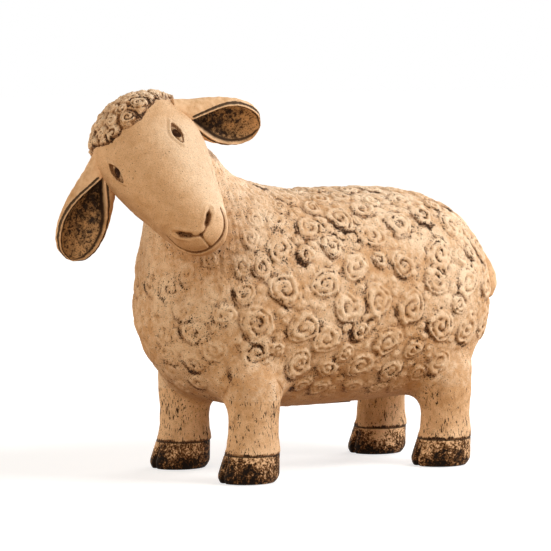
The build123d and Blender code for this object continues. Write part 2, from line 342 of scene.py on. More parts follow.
def body_rows():
    """Back y and z, belly y and z, half width and shift aside of each section. The rump is a superellipse."""
    angle = np.radians(np.linspace(90, 6, 22))
    share = np.cos(angle) ** (2 / rump_power)
    share[0] = 0
    y = rump_start + rump_reach * np.sin(angle) ** (2 / rump_power)
    rise = body_half_height * share
    none = np.zeros_like(y)
    rump = (y, body_axis_height + rise, y, body_axis_height - rise, body_half_width * share, none)
    back_y, back_rise, belly_y, belly_rise, width = barrel_sections.T
    half = neck_half_width + (body_half_width - neck_half_width) * width
    barrel = (back_y, back_height + back_rise, belly_y, belly_height + belly_rise, half, 0 * half)
    nape_y, nape_z, throat_y, throat_z, extra, follow = neck_sections.T
    neck = (head_middle[1] + nape_y, head_middle[2] + nape_z, head_middle[1] + throat_y,
            head_middle[2] + throat_z, neck_half_width + extra, head_middle[0] * follow)
    return np.concatenate([np.stack(stretch, 1) for stretch in (rump, barrel, neck)])


def body_grid(row_count, column_count):
    """Ovals between the back line and the belly line, evenly spaced along the mean run of back, belly and
    sides, and how far along each lies. Column 0 is the belly line, and the columns go up the sheep's left
    side, over the back and down its right."""
    rows = body_rows()
    back, belly = rows[:, 0:2], rows[:, 2:4]
    side = np.concatenate(((back + belly) / 2, rows[:, 4:5]), 1)
    runs = [np.linalg.norm(np.diff(line, axis=0), axis=1) for line in (back, belly, side, side)]
    knots = np.r_[0, np.cumsum(sum(runs) / 4)]
    along = np.linspace(0.4, knots[-1], row_count)
    row = smooth_through(along, knots, rows)
    angle = np.radians(-90 + 360 * np.arange(column_count) / column_count)
    middle = (row[:, 0:2] + row[:, 2:4]) / 2
    half = (row[:, 0:2] - row[:, 2:4]) / 2
    x = row[:, 5:6] + row[:, 4:5] * np.cos(angle)
    y = middle[:, 0:1] + half[:, 0:1] * np.sin(angle)
    z = middle[:, 1:2] + half[:, 1:2] * np.sin(angle)
    return along, np.stack((x, y, z), -1)


def leg_gap(points, leg):
    """About how far points lie outside a leg's column: its oval radius, less 1, times its mean half size."""
    x, y = leg
    height = np.clip(points[..., 2], leg_rows[0, 0], leg_rows[-1, 0])
    section = smooth_through(height, leg_rows[:, 0], leg_rows[:, 1:])
    lean, half_width, half_length = np.moveaxis(section, -1, 0)
    across = (points[..., 0] - (x - np.sign(x) * lean)) / half_width
    lengthwise = (points[..., 1] - y) / half_length
    gap = (np.sqrt(across**2 + lengthwise**2) - 1) * (half_width + half_length) / 2
    return np.maximum(gap, points[..., 2] - leg_top)


def soft_join(first, second, reach):
    """The smooth least of two distances, which rounds the corner where two forms meet."""
    mix = np.clip(0.5 + 0.5 * (second - first) / reach, 0, 1)
    return second + (first - second) * mix - reach * mix * (1 - mix)


legs = {"left_front": front_leg, "right_front": (-front_leg[0], front_leg[1]),
        "left_rear": rear_leg, "right_rear": (-rear_leg[0], rear_leg[1])}

# Main curls of one side, mirrored on the other, as in the CAD model: how far along Y in mm, the degrees up
# from the side about the barrel's axis, and the radius in mm
main_curls = (
    (85, 78, 10), (43, 82, 9), (23, 81, 9), (-58, 80, 9), (55, 65, 10.5), (7, 70, 9), (-41, 68, 11),
    (118, 66, 10), (92, 47, 12), (66, 53, 11.5), (41, 46, 12), (16, 58, 10), (-8, 51, 11.5), (-38, 46, 11),
    (119, 36, 11.5), (69, 26, 12.5), (33, 20, 11), (12, 39, 11.5), (-9, 21, 11.5), (-25, 34, 10),
    (-66, 50, 10), (-68, 33, 11.5), (-87, 24, 9.5), (136, 22, 10), (119, 7, 11.5), (94, 9, 12.5),
    (61, 10, 11), (37, -4, 13), (9, 1, 12.5), (-18, -1, 12.5), (-36, 12, 12), (-70, 11, 13),
    (136, -22, 10), (119, -22, 11.5), (95, -21, 13), (66, -16, 13), (20, -23, 12), (-34, -19, 12),
    (-53, -12, 12.5), (-89, -10, 14.5), (136, -62, 10), (31, -43, 10), (2, -37, 12), (-27, -38, 9),
    (-52, -34, 12), (6, -54, 9), (-25, -53, 9),
)

# Smaller curls between them, and shallow ones on the chest and by the legs
small_curls = (
    (-13, 69, 8.5), (64, 82, 8.5), (-4, 83, 8), (-25, 82, 8.5), (-48, 29, 8), (13, 24, 6.5), (-100, 26, 8.5),
    (-6, -16, 8), (44, -29, 8.5), (-87, -27, 12.5), (-72, -25, 6), (-91, 40, 8), (-72, 61, 8), (73, -39, 10),
    (-118, 13, 12), (-138, 30, 11), (-128, -23, 10), (-115, -33, 10), (-140, -49, 10.5), (-134, -67, 10),
    (-134, -5, 8), (-112, -5, 9), (-98, -39, 8),
)
curl_height = 1.75
curl_disc = 0.2
curl_turns = 2.1
finest_pitch = 2.7
widest_pitch = 5.8
groove_width = 0.21
trench_depth = 0.55
main_hand_share = 0.6
shaded_curl_share = 0.4
wool_sink = 1.0
curls_start = 12
curls_end = 318
leg_room = 12
belly_room = 9
plug_radius = 16.0
plug_y = 15.0


def spiral_curl(points, middle, normal, radius, draw):
    """A rolled coil, and the painted shade under it. In polar coordinates about its middle, its ridge is
    highest half-way between the lines where the angle over a whole turn plus the distance over the pitch is a
    whole number. Its edge winds inwards by part of a pitch in each turn, and seeded waves of two and three to
    the turn keep it from being round. Noise breaks the groove and dents the ridge. The painted shade follows
    the edge where it faces down and forwards, and also darkens the middle."""
    forwards = unit(np.cross(normal, (0.0, 0.0, 1.0)) + 1e-6)
    up = np.cross(forwards, normal)
    offset = points - middle
    front = offset @ forwards
    rise = offset @ up
    pitch = np.clip(radius / curl_turns, finest_pitch, widest_pitch)
    hand = 1 if draw.random() < main_hand_share else -1
    start, second, third = draw.uniform(0, 2 * np.pi, 3)
    angle = np.arctan2(rise, front) * hand + start
    distance = np.hypot(front, rise)
    wobble = 0.09 * np.cos(2 * angle + second) + 0.06 * np.cos(3 * angle + third)
    away = distance * (1 + wobble) + 0.5 * waves(points, 9, 8)
    turns = angle / (2 * np.pi) + away / pitch
    off_groove = np.abs(turns - np.round(turns))
    groove = bell(off_groove, groove_width) * smooth_step(away, 0.1 * pitch, 0.4 * pitch)
    unbroken = 0.3 + 0.7 * smooth_step(waves(points, 7, 9), -0.7, 0.4)
    ridge = 1 - groove * unbroken - 0.12 * (1 + waves(points, 4, 10))
    share = (angle / (2 * np.pi) + radius / pitch) % 1.0
    edge = radius + pitch * 0.6 * (0.5 - share)
    rim = smooth_step(away, edge + 0.4, edge - 0.38 * pitch)
    trench = trench_depth * bell(away, 1.3, edge + 0.9)
    height = rim * (curl_disc + (curl_height - curl_disc) * ridge) - trench
    below = smooth_step((front - rise) / (distance + 0.1), 0.2, 1.2)
    shade_mark = bell(away, 2.0, edge - 0.6) * below + 0.6 * bell(away, 0.3 * radius)
    return height, shade_mark * (1.0 if draw.random() < shaded_curl_share else 0.3)


def scatter(draw, grid, allowed, taken, tries, small, large, gap):
    """Seeded places for more curls: a random grid point is kept where its curl clears all those before it."""
    places = list(taken)
    rows, columns = np.nonzero(allowed)
    picks = draw.integers(0, len(rows), tries)
    sizes = draw.uniform(small, large, tries)
    middles = np.array([grid[row, column] for row, column, _ in taken]) if taken else np.zeros((0, 3))
    radii = np.array([radius for _, _, radius in taken])
    for pick, size in zip(picks, sizes):
        point = grid[rows[pick], columns[pick]]
        if len(radii) and np.min(np.linalg.norm(middles - point, axis=1) - gap * (radii + size)) < 0:
            continue
        places.append((rows[pick], columns[pick], size))
        middles = np.concatenate((middles, point[None]))
        radii = np.append(radii, size)
    return places


def emboss_curls(grid, normals, places, depth, draw):
    """The highest of all the curls at each grid point, less the trenches round them, and their marks of
    painted shade.
    """
    height = np.zeros(grid.shape[:2])
    marks = np.zeros(grid.shape[:2])
    for row, column, radius in places:
        middle, normal = grid[row, column], normals[row, column]
        strength = depth[row, column] * draw.uniform(0.85, 1.0)
        near = np.nonzero(((grid - middle) ** 2).sum(-1) < (radius + 6) ** 2)
        curl, shade_mark = spiral_curl(grid[near], middle, normal, radius, draw)
        curl = curl * strength
        height[near] = np.where(curl > 0, np.maximum(height[near], curl), height[near] + np.minimum(curl, 0))
        marks[near] = np.maximum(marks[near], shade_mark)
    return np.clip(height, -1.0, curl_height), marks


def curl_places(grid, table):
    """Rows and columns of the grid points nearest to where the table's curls lie, on both sides."""
    places = []
    reach = np.hypot(grid[..., 0], grid[..., 2] - body_axis_height)
    rise = np.arctan2(grid[..., 2] - body_axis_height, np.abs(grid[..., 0]))
    for side in (1, -1):
        own_side = np.where(grid[..., 0] * side > 0, 0.0, 500.0)
        for y, degrees, radius in table:
            away = np.hypot(grid[..., 1] - y, reach * (rise - math.radians(degrees))) + own_side
            row, column = np.unravel_index(np.argmin(away), away.shape)
            places.append((row, column, radius))
    return places


def tail_gap(points):
    """About how far points lie outside the tail's column of level ovals, and far off above and below it."""
    share = np.clip((tail_top - points[..., 2]) / tail_length, 0, 1)
    size, middle = tail_line(share)
    across = points[..., 0] / (tail_half_width * size)
    lengthwise = (points[..., 1] - middle) / (tail_half_depth * size)
    gap = (np.hypot(across, lengthwise) - 1) * tail_half_width * size
    off_end = np.abs(tail_top - tail_length * share - points[..., 2])
    return np.where(points[..., 1] > rump_start, np.maximum(gap, off_end), far_off)


def leg_facing(points, leg):
    """The level direction from a leg's axis to each point."""
    offset = (points - (leg[0], leg[1], 0.0)) * (1.0, 1.0, 0.0)
    return unit(offset)


def blend_reach(first_normal, second_normal):
    """How far two forms blend: wide where they meet square on, hardly at all where they run side by side."""
    alike = np.clip((first_normal * second_normal).sum(-1), 0, 1)
    return least_blend + (leg_blend - least_blend) * (1 - alike) ** 1.3


def leg_roots(base, normals):
    """How far each point moves along the body's normal until the smooth least of its gaps to body and leg is
    0, less a dive under the leg's own surface, and its gap to the nearest leg."""
    lift = np.zeros(base.shape[:2])
    near_leg = np.full(base.shape[:2], far_off)
    for leg in legs.values():
        gap = leg_gap(base, leg)
        near_leg = np.minimum(near_leg, gap)
        near = np.nonzero(gap < 2 * leg_blend)
        reach = blend_reach(normals[near], leg_facing(base[near], leg))
        rise = np.zeros(len(near[0]))
        for _ in range(14):
            moved = base[near] + normals[near] * rise[:, None]
            rise = np.clip(rise - settle_share * soft_join(rise, leg_gap(moved, leg), reach), 0, 9)
        dive = smooth_step(rise - leg_gap(base[near] + normals[near] * rise[:, None], leg), 0, 5)
        lift[near] = np.maximum(lift[near], rise) - 0.9 * dive
    return lift, near_leg


def dressed_body():
    """The body's grid with rounded leg roots and curls, its normals, and its painted hollows and crests, with
    painted shade under the curls and round the tail.
    """
    along, base = body_grid(*body_mesh)
    normals = ring_normals(base)
    lift, near_leg = leg_roots(base, normals)
    x, y, z = np.moveaxis(base, -1, 0)
    draw = np.random.default_rng(11)
    length = np.broadcast_to(along[:, None], near_leg.shape)
    curled = (length > curls_start) & (length < curls_end) & (z > belly_height + belly_room)
    free = curled & (near_leg > leg_room)
    places = curl_places(base, main_curls + small_curls)
    places = scatter(draw, base, free, places, tries=4000, small=7.0, large=9.5, gap=0.95)
    fillers = scatter(draw, base, free, places, tries=5000, small=3.0, large=5.0, gap=0.9)[len(places):]
    chest = smooth_step(length, 300, 262) * 0.4 + 0.6
    front = smooth_step(y + 0.35 * np.abs(x), -112, -84) * 0.4 + 0.6
    depth = np.minimum(chest, front) * (0.3 + 0.7 * smooth_step(near_leg, 0, 8))
    depth = depth * smooth_step(z, belly_height, 68)
    height, marks = emboss_curls(base, normals, places, depth, draw)
    lumps, _ = emboss_curls(base, normals, fillers, depth * 0.55, draw)
    height = np.maximum(height, lumps)
    from_plug = np.hypot(x, y - plug_y) + np.where(z > body_axis_height, far_off, 0)
    ripples = (0.3 * waves(base, 26, 5) + 0.18 * waves(base, 8, 6)) * smooth_step(from_plug, 18, 24)
    streaks = waves(base * (1.0, 1.0, 0.16), 5.5, 7) * 0.35 * smooth_step(length, 285, 330)
    sink = wool_sink * smooth_step(near_leg, 0, 26)
    relief = np.minimum(height + ripples + streaks - sink, curl_height)
    # The tail's gap also sets a line of painted shade round the tail, where it meets the rump.
    from_tail = tail_gap(base)
    relief = relief * smooth_step(near_leg, -8, 1) - 1.2 * smooth_step(from_tail, 6, 1)
    grid = base + normals * (lift + relief)[..., None]
    # Painted shade: the curls' marks, darkest on their lower front edges, added to the wash in the hollows.
    shade = hollows(height + streaks, reach=4, full=0.8) * 0.9 + marks * 0.7 + bell(from_tail, 2.5)
    painted = {"shade": np.clip(shade, 0, 1), "crest": crests(height, reach=5, full=1.1)}
    return grid, ring_normals(grid), painted


def leg_surface(leg, heights, samples, sample_normals):
    """A leg's column, swelling out to meet the body: each point moves outwards along its ring until the
    smooth least of its gaps to leg and body is 0. The body's gap is read off the tangent at the nearest
    body sample."""
    x, y = leg
    angle = circle(leg_columns)
    lean, half_width, half_length = smooth_through(heights, leg_rows[:, 0], leg_rows[:, 1:]).T[:, :, None]
    toe = 0.22 * np.clip(hoof_height - heights, 0, None)[:, None]
    middle = np.stack(np.broadcast_arrays(x - np.sign(x) * lean, y - toe, heights[:, None]), -1)
    spoke = np.stack(np.broadcast_arrays(half_width * np.cos(angle), half_length * np.sin(angle), 0.0), -1)
    size = (half_width + half_length) / 2
    own_side = samples[:, 0] * np.sign(x) > -15
    near = own_side & (np.abs(samples[:, 1] - y) < 75) & (samples[:, 2] < 130)
    samples = samples[near]
    sample_normals = sample_normals[near]
    swell = np.zeros((len(heights), leg_columns))
    for _ in range(10):
        points = (middle + spoke * (1 + swell / size)[..., None]).reshape(-1, 3)
        square = (points**2).sum(1)[:, None] - 2 * points @ samples.T + (samples**2).sum(1)[None]
        nearest = np.argmin(square, axis=1)
        body_gap = ((points - samples[nearest]) * sample_normals[nearest]).sum(1).reshape(swell.shape)
        reach = blend_reach(sample_normals[nearest].reshape(spoke.shape), unit(spoke))
        swell = np.clip(swell - settle_share * soft_join(swell, body_gap, reach), 0, 14)
    dive = smooth_step(swell - body_gap, 0, 5)
    return middle + spoke * (1 + (swell - 1.2 * dive) / size)[..., None]


def dressed_leg(leg, samples, sample_normals):
    """A leg from its hem up into the body, with small dents, and the dark values of its streaks and hem."""
    low = np.linspace(ankle_hem, leg_joint_height, leg_low_rows)
    high = np.linspace(leg_joint_height, leg_top, leg_high_rows)
    grid = leg_surface(leg, np.r_[low, high[1:]], samples, sample_normals)
    dents = 0.25 * waves(grid, 14, 71) - 0.25 + 0.14 * waves(grid * (1, 1, 0.35), 3.5, 72)
    dents = dents - 0.9 * smooth_step(grid[..., 2], ankle_hem + 1.2, ankle_hem)
    grid = grid + ring_normals(grid) * np.minimum(dents, 0)[..., None]
    streaks = 0.4 * smooth_step(waves(grid * (1, 1, 0.3), 4, 74), 0.0, 1.0)
    ragged_height = grid[..., 2] + 0.7 * waves(grid, 6, 73)
    return grid, streaks + smooth_step(ragged_height, ankle_hem + 2.0, ankle_hem + 0.3)


# Head, in its own frame: x to the sheep's left, y back from the muzzle, z out of the forehead

head_matrix = turn(2, head_turn) @ turn(1, head_tilt) @ turn(0, head_nod)


def from_head(points):
    """Points of the head's frame in the sheep's frame."""
    return head_middle + points @ head_matrix.T


def head_rows():
    """y, half width, half depth and lift of each section, from the crown to the muzzle."""
    rows = []
    for reach, sections in ((crown_reach, crown_sections), (-muzzle_reach, muzzle_sections)):
        for share, width, depth, lift in sections:
            rows.append((reach * share, head_half_width * width, head_half_depth * depth, lift))
    return np.array(rows, float)


def head_grid(row_count, column_count, last_y=None):
    """Ovals round the head's own y axis, evenly spaced along its side, up to the muzzle or to last_y."""
    rows = head_rows()
    knots = np.r_[0, np.cumsum(np.hypot(np.diff(rows[:, 0]), np.diff(rows[:, 1])))]
    end = knots[-1] if last_y is None else np.interp(-last_y, -rows[:, 0], knots)
    along = np.linspace(0.3, end - (0.3 if last_y is None else 0), row_count)
    y, half_width, half_depth, lift = smooth_through(along, knots, rows).T[:, :, None]
    angle = circle(column_count)
    return np.stack(np.broadcast_arrays(half_width * np.cos(angle), y, lift + half_depth * np.sin(angle)), -1)


def almond(points, middle, slant):
    """Coordinates along and across an eye, in shares of its half length and half width. Its outline is 1."""
    offset = points - middle
    lengthwise = (-offset[..., 1] + slant * offset[..., 0]) / lid_half_length
    across = (offset[..., 0] * 0.72 - offset[..., 2] * 0.69 * np.sign(middle[0])) * np.sign(middle[0])
    return lengthwise, across / eye_half_width, np.linalg.norm(offset, axis=-1)


# Eyes, and the face's lines. Lines of one side are the left's.
eye_half_length = 8.0
lid_half_length = 7.2
eye_half_width = 3.3
eye_bulge = 2.9
eye_sink = 2.6
pupil_half_length = 3.9
pupil_half_width = 3.2
eye_middles = {"left": np.array((25.2, -2.6, 24.9)), "right": np.array((-25.4, -1.2, 24.8))}
eye_slants = {"left": 0.08, "right": -0.12}
mouth_line = ((-20.8, -56, 9.0), (-19.4, -65, 5.2), (-13.4, -74.3, 3.2), (-6, -78.4, 2.4), (0, -79.3, 2.2),
              (6, -78.5, 2.4), (13.4, -74.3, 3.0), (18.6, -67.5, 4.4), (20.8, -61.5, 6.6))
nose_line = ((-0.6, -73.2, 15.8), (-0.8, -76.6, 10.0), (-0.8, -79.2, 2.4))
nostril_line = ((14.0, -61.5, 17.4), (11.6, -65.0, 17.8), (7.8, -69.0, 17.2), (3.5, -72.0, 16.2))
pit_line = ((12.0, -64.8, 17.8), (9.8, -67.2, 17.6), (7.6, -69.2, 17.4))
jaw_line = ((31.5, -27, 1), (28, -40, 4), (25.6, -49, 1), (23, -57, -4))


def on_side(line, side):
    """A line of the left side, mirrored where side is -1."""
    return np.array(line) * (side, 1, 1)


def dressed_head():
    """The head with lids, nostrils, mouth and jaw folds, each a ridge or groove of Gaussian profile, its dark
    lines, and a painted highlight on the left of its face, where the light falls."""
    base = head_grid(*head_mesh)
    normals = ring_normals(base)
    x, y, z = np.moveaxis(base, -1, 0)
    relief = 0.12 * waves(base, 9, 21) + 0.25 * waves(base, 30, 22) - 0.5 * smooth_step(y, -50, -60)
    mouth = line_distance(base, mouth_line)
    nose = line_distance(base, nose_line)
    lip = smooth_step(z, 6.5, 1.0) * smooth_step(y, -55, -66)
    relief += 0.9 * bell(mouth, 1.8, 3.0) * lip - 1.7 * bell(mouth, 1.15) - 1.3 * bell(nose, 1.0)
    dark = 1.4 * bell(mouth, 1.1) + 1.3 * bell(nose, 0.9)
    for side in (-1, 1):
        slit = line_distance(base, np.vstack((on_side(nostril_line, side), nose_line[0])))
        pit = line_distance(base, on_side(pit_line, side))
        jaw = line_distance(base, on_side(jaw_line, side))
        relief += 1.1 * bell(slit, 1.6, 3.4) * smooth_step(y, -76, -62) - 0.9 * bell(slit, 0.9)
        relief += 0.45 * bell(jaw, 2.2, 3.2) - 0.5 * bell(jaw, 1.7) - 3.0 * bell(pit, 2.0)
        dark += 0.75 * bell(slit, 0.9) + 1.4 * bell(pit, 1.7) + 0.25 * bell(jaw, 1.2)
    for side, middle in eye_middles.items():
        lengthwise, across, away = almond(base, middle, eye_slants[side])
        ring = np.sqrt(lengthwise**2 + (across * (1 + 0.35 * lengthwise**2)) ** 2)
        close = away < 22
        fold = smooth_step(-lengthwise, -1.2, 0.6)
        lids = 1.15 * bell(ring, 0.26, 1.42) - 1.7 * smooth_step(ring, 1.12, 0.85)
        relief += np.where(close, lids - 0.55 * bell(ring, 0.16, 2.05) * fold, 0)
        dark += np.where(close, 1.2 * bell(ring, 0.13, 1.03) + 0.08 * bell(ring, 0.14, 2.05) * fold, 0)
    grid = base + normals * relief[..., None]
    # Painted highlight: paler paint on the left of the face, on the side where the light falls.
    worn = smooth_step(x, 2, 24) * smooth_step(y, 18, -2) * smooth_step(y, -76, -58) * smooth_step(z, -16, 2)
    return grid, {"shade": np.clip(dark, 0, 1), "crest": 0.85 * worn}


def eye_surface(middle, slant):
    """A long low dome under the lids: an ellipsoid a little larger than the almond, and its painted pupil."""
    angle = circle(64)
    polar = np.radians(np.linspace(2, 178, 60))[:, None]
    lengthwise = unit(np.array((slant, -1.0, 0.0)))
    outward = unit(np.array((middle[0], 0.0, 25.0)))
    across = np.cross(outward, lengthwise)
    along = np.sin(polar) * np.sin(angle) * (eye_half_length + 0.3)
    aside = np.sin(polar) * np.cos(angle) * (eye_half_width + 0.7)
    rise = np.cos(polar) * eye_bulge - eye_sink + 0 * angle
    grid = middle + along[..., None] * lengthwise + aside[..., None] * across + rise[..., None] * outward
    pupil = smooth_step(np.hypot(along / pupil_half_length, aside / pupil_half_width), 1.15, 0.9)
    return grid, pupil


# Wool cap

cap_front = 17.5
cap_sweep = 13.0
cap_end = 14.0
cap_thickness = 4.9
cap_curl_room = 2.6


def dressed_cap():
    """The crown's surface, raised by the cap's thickness with small curls, and tucked under at its edge."""
    base = head_grid(*cap_mesh, last_y=cap_end)
    normals = ring_normals(base)
    x, y, z = np.moveaxis(base, -1, 0)
    edge = cap_front + cap_sweep * (smooth_step(x, 8, 30) + smooth_step(-x, 16, 34)) + waves(base, 9, 31)
    cover = smooth_step(y, edge - 0.5, edge + 3.0)
    draw = np.random.default_rng(33)
    free = (y > edge + 2.5) & (z > -36)
    places = scatter(draw, base, free, [], tries=4000, small=4.2, large=6.0, gap=0.9)
    places = scatter(draw, base, free, places, tries=4000, small=2.6, large=3.6, gap=0.9)
    height, marks = emboss_curls(base, normals, places, np.ones(x.shape), draw)
    lumps = 0.45 * waves(base, 9, 34) + 0.2 * waves(base, 4, 35)
    raised = cover * (cap_thickness - cap_curl_room)
    relief = raised + smooth_step(y, edge - 1.5, edge + 1.0) * (height + lumps)
    tuck = 1.6 * (1 - smooth_step(y, edge - 2.5, edge - 0.5))
    grid = base + normals * (np.minimum(relief, cap_thickness) - tuck)[..., None]
    rim = 1 - smooth_step(y, edge, edge + 3)
    # Painted shade: the curls' marks, and a band along the cap's edge where it overhangs the face.
    shade = hollows(height + lumps, reach=4, full=0.6) + marks * 0.5 + 0.6 * rim
    return grid, {"shade": np.clip(shade, 0, 1), "crest": crests(height, reach=5, full=0.9)}


# Ears

ear_half_width = 17.8
ear_half_depth = 9.5
ear_wall = 3.2
ear_rim = 2.2
ear_apex = 0.1
ear_sections = np.array((
    (-0.1, 0.6, 0.85),
    (0.1, 0.7, 0.95),
    (0.3, 0.88, 1.0),
    (0.52, 1.0, 1.0),
    (0.72, 0.98, 0.9),
    (0.87, 0.8, 0.72),
    (0.96, 0.5, 0.48),
    (1.0, 0.16, 0.18),
))
ear_facts = {"left": ((32.0, 20.0, 2.0), (74.0, -7.0, -34.0), (-0.2, -0.73, 0.79)),
             "right": ((-32.0, 20.0, 2.0), (-90.0, -20.0, -8.0), (0.34, -0.56, 0.83))}


def dressed_ear(root, tip, facing):
    """A leaf of oval sections with a scooped front. At each station the back is half an oval, and the front
    is the smooth least of half an oval and a scoop, with a bead along the lip and a groove outside it."""
    root, tip, facing = (np.array(vector) for vector in (root, tip, facing))
    along = tip - root
    length = np.linalg.norm(along)
    along = along / length
    across = unit(np.cross(facing, along))
    outward = np.cross(along, across)
    share = np.r_[np.linspace(-0.1, 0.9, 120), 1.0 - 0.1 * np.linspace(1, 0, 30)[1:] ** 2]
    half_width, half_depth = smooth_through(share, ear_sections[:, 0], ear_sections[:, 1:]).T[:, :, None]
    half_width = half_width * ear_half_width
    half_depth = half_depth * ear_half_depth
    loop = circle(220)
    front = np.sin(loop) > 0
    aside = np.cos(loop)
    oval = half_depth * np.abs(np.sin(loop))
    run = np.clip((share - ear_apex) / 0.62, 0, 1)[:, None]
    opening = 1 - (1 - run) ** 2
    inner = np.clip((half_width - ear_rim) * opening, 0.05, None)
    reach = np.clip(1 - (half_width * aside / inner) ** 2, 0, 1)
    hollow = (2 * half_depth - ear_wall) * np.clip(1.6 * opening, 0, 1)
    scoop = half_depth - hollow * np.sqrt(reach) * smooth_step(share, 1.0, 0.955)[:, None]
    depth = np.where(front, soft_join(oval, scoop, 1.2) + 0.3, 0.5 - oval)
    edge = inner * np.sqrt(np.clip(1 - ((oval - half_depth) / np.maximum(hollow, 0.1)) ** 2, 0, 1))
    from_lip = np.abs(half_width * aside) - edge
    lip = smooth_step(opening, 0.02, 0.15) * front
    bead = lip * (0.7 * bell(from_lip, 0.8, 0.3) - 0.55 * bell(from_lip, 0.55, 1.9))
    spine = root + (share * length)[:, None, None] * along
    points = spine + (half_width * aside)[..., None] * across + (depth + bead)[..., None] * outward
    points = points + 0.2 * unit(points - spine) * waves(points, 6, 41)[..., None]
    inside = lip * smooth_step(-from_lip, -0.2, 1.6)
    groove = lip * (bell(from_lip, 1.5, 2.1) + 0.85 * bell(from_lip, 1.4, -1.8))
    station = np.broadcast_to(share[:, None], inside.shape)
    return points, {"inside": inside, "shade": np.clip(groove, 0, 1), "station": station}


# Hooves and tail

def dressed_hoof(leg):
    """A hoof of oval rings that lean to the toe, rounded under, with its top tucked under the leg's hem. The
    rings' half sizes shrink upwards, and the cleft is a Gaussian dip on the front line."""
    x, y = leg
    share = np.r_[np.zeros(6), np.linspace(0, 1, 60)]
    inset = np.r_[np.linspace(1, 0, 7)[:6], np.zeros(60)]
    height = sole_height + (hoof_height - sole_height) * share
    toe = hoof_toe * (1 - share) ** 0.9
    half_width = hoof_half_width + (hoof_top_half_width - hoof_half_width) * share**1.15
    half_length = hoof_half_length + (hoof_top_half_length - hoof_half_length) * share**1.1
    under = 3.2 * np.clip(1 - (height - sole_height) / 6.5, 0, 1) ** 2
    tuck = 1.2 * smooth_step(height, ankle_hem, ankle_hem + 1.5)
    shrink = (under + tuck)[:, None]
    angle = circle(160)
    sole = 1 - 0.62 * inset[:, None]
    front = bell(np.angle(np.exp(1j * (angle + np.pi / 2))), cleft_width)
    cleft = front * (smooth_step(height, 19.5, 14.0) * (inset < 0.5))[:, None]
    ring_x = x + (half_width[:, None] - shrink) * sole * np.cos(angle)
    ring_y = y - toe[:, None] + (half_length[:, None] - shrink) * sole * np.sin(angle) + cleft_depth * cleft
    grid = np.stack((ring_x, ring_y, np.broadcast_to(height[:, None], ring_x.shape)), -1)
    rough = 0.22 * waves(grid, 8, 51) * (smooth_step(height, 1, 4) * smooth_step(height, 25, 22))[:, None]
    grid = grid + ring_normals(grid) * np.minimum(rough, 0)[..., None]
    groove = smooth_step(height, ankle_hem - 1.6, ankle_hem - 0.4)[:, None]
    shade = np.clip(groove + 0.9 * cleft, 0, 1)
    return grid, {"shade": shade, "rise": np.broadcast_to(share[:, None], shade.shape)}


tail_top = 174.0
tail_length = 58.0
tail_half_width = 14.0
tail_half_depth = 14.5
tail_sections = np.array((
    (0.0, 0.25, -2.0),
    (0.15, 0.55, 0.0),
    (0.4, 0.85, 5.0),
    (0.65, 1.0, 9.0),
    (0.85, 0.92, 9.5),
    (0.96, 0.6, 8.0),
    (1.0, 0.2, 6.0),
))


def tail_line(share):
    """The tail's size and its middle's y at a share of its length: the rump's curve plus a swing outwards."""
    size, out = np.moveaxis(smooth_through(share, tail_sections[:, 0], tail_sections[:, 1:]), -1, 0)
    offset = np.abs(tail_top - tail_length * share - body_axis_height) / body_half_height
    return size, rump_start + rump_reach * (1 - offset**rump_power) ** (1 / rump_power) + out


def dressed_tail():
    """A hanging drop: level ovals whose middles follow the tail's line."""
    share = np.r_[np.linspace(0, 0.94, 70), 1 - 0.06 * np.linspace(1, 0, 20)[1:] ** 2]
    size, middle = tail_line(share)
    angle = circle(96)
    x = tail_half_width * size[:, None] * np.cos(angle)
    y = middle[:, None] + tail_half_depth * size[:, None] * np.sin(angle)
    z = np.broadcast_to((tail_top - tail_length * share)[:, None], x.shape)
    grid = np.stack((x, y, z), -1)
    relief = np.minimum(0.25 * waves(grid, 10, 61) - 0.25, 0)
    return grid + ring_normals(grid) * relief[..., None]


def dressed_plug():
    """The plug's face follows the belly's oval, with a rounded rim, and its side goes up into the wall."""
    rim_steps = np.array((0.6, 0.3, 0.15, 0.1, 0.1))
    radius = np.r_[np.linspace(0.4, plug_radius - 1.0, 30), plug_radius - rim_steps]
    lift = np.r_[np.zeros(30), 0.12, 0.3, 0.55, 2.5, 5.0]
    angle = circle(96)
    x = radius[:, None] * np.cos(angle)
    y = plug_y + radius[:, None] * np.sin(angle)
    belly = body_axis_height - body_half_height * np.sqrt(1 - (x / body_half_width) ** 2)
    z = belly + 0.25 + lift[:, None]
    rim = bell(radius, 0.8, plug_radius - 0.4)[:, None] + 0 * x
    return np.stack((x, y, z), -1), rim


# Paints: node trees written as expressions

matte_sheen = 0.12


class Wire:
    """A shader socket in sums: its operators add Math nodes to the paint it belongs to."""

    def __init__(self, paint, socket):
        self.paint = paint
        self.socket = socket

    def maths(self, operation, first, second):
        """A Math node of two values."""
        return self.paint.node("ShaderNodeMath", {"operation": operation}, {0: first, 1: second})

    def __add__(self, other):
        return self.maths("ADD", self, other)

    def __radd__(self, other):
        return self.maths("ADD", other, self)

    def __mul__(self, other):
        return self.maths("MULTIPLY", self, other)

    def __rmul__(self, other):
        return self.maths("MULTIPLY", other, self)

    def step(self, low, high):
        """0 at low, 1 at high, smooth between them."""
        return self.paint.node("ShaderNodeMapRange", {"interpolation_type": "SMOOTHSTEP"},
                               {"Value": self, "From Min": low, "From Max": high})


